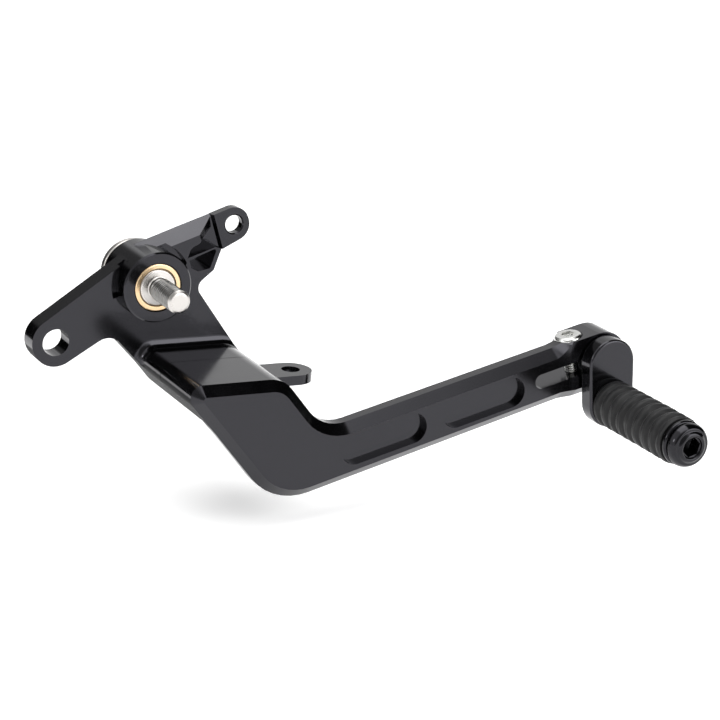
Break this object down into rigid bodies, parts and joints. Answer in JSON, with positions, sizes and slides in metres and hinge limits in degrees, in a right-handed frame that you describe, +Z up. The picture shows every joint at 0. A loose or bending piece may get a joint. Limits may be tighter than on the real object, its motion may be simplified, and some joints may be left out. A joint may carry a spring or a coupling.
{
  "type": "motorcycle gear shift lever",
  "caption": "Cranked foot gear lever on a shoulder bolt, with two short linkage arms, a split clamp and an adjustable ribbed rubber toe peg.",
  "frame": {"origin": "centre of the shoulder's front face on the pivot axis", "axes": "-Y points out along the pivot bolt's thread and the toe peg, +X along the lever towards the peg, +Z up"},
  "size_m": [0.2054, 0.1212, 0.089],
  "materials": {
    "black_anodised": "satin black anodised",
    "stainless": "bright turned stainless",
    "bronze": "plain bearing bronze",
    "black_steel": "glossy blackened steel",
    "zinc_steel": "zinc plated",
    "rubber": "matt black moulded"
  },
  "bodies": {
    "bolt": {"pivot_bolt": "stainless", "thrust_washer": "bronze"},
    "lever": {"pivot_bush_front": "bronze", "pivot_bush_rear": "bronze", "pivot_bracket": "black_anodised", "lever_arm": "black_anodised", "joint_screw_left": "black_steel", "joint_screw_right": "black_steel", "joint_washer_left": "zinc_steel", "joint_washer_right": "zinc_steel", "joint_dowel_left": "zinc_steel", "joint_dowel_right": "zinc_steel", "clamp_bolt": "zinc_steel", "clamp_washer": "zinc_steel"},
    "peg": {"peg_holder": "black_anodised", "peg_core": "zinc_steel", "peg_rubber": "rubber", "peg_end_washer": "black_steel", "peg_bolt": "black_steel"}
  },
  "joints": [
    {"name": "lever_pivot", "type": "hinge", "parent": "bolt", "child": "lever", "pos_m": [0, 0.0094, 0], "axis": [0, 1, 0], "range_deg": [-12, 12], "stiffness_Nm_per_rad": 15, "springref_deg": -0.63},
    {"name": "peg_adjust", "type": "hinge", "parent": "lever", "child": "peg", "pos_m": [0.1522, -0.0335, -0.0376], "axis": [0, 1, 0], "range_deg": [-180, 180]}
  ]
}
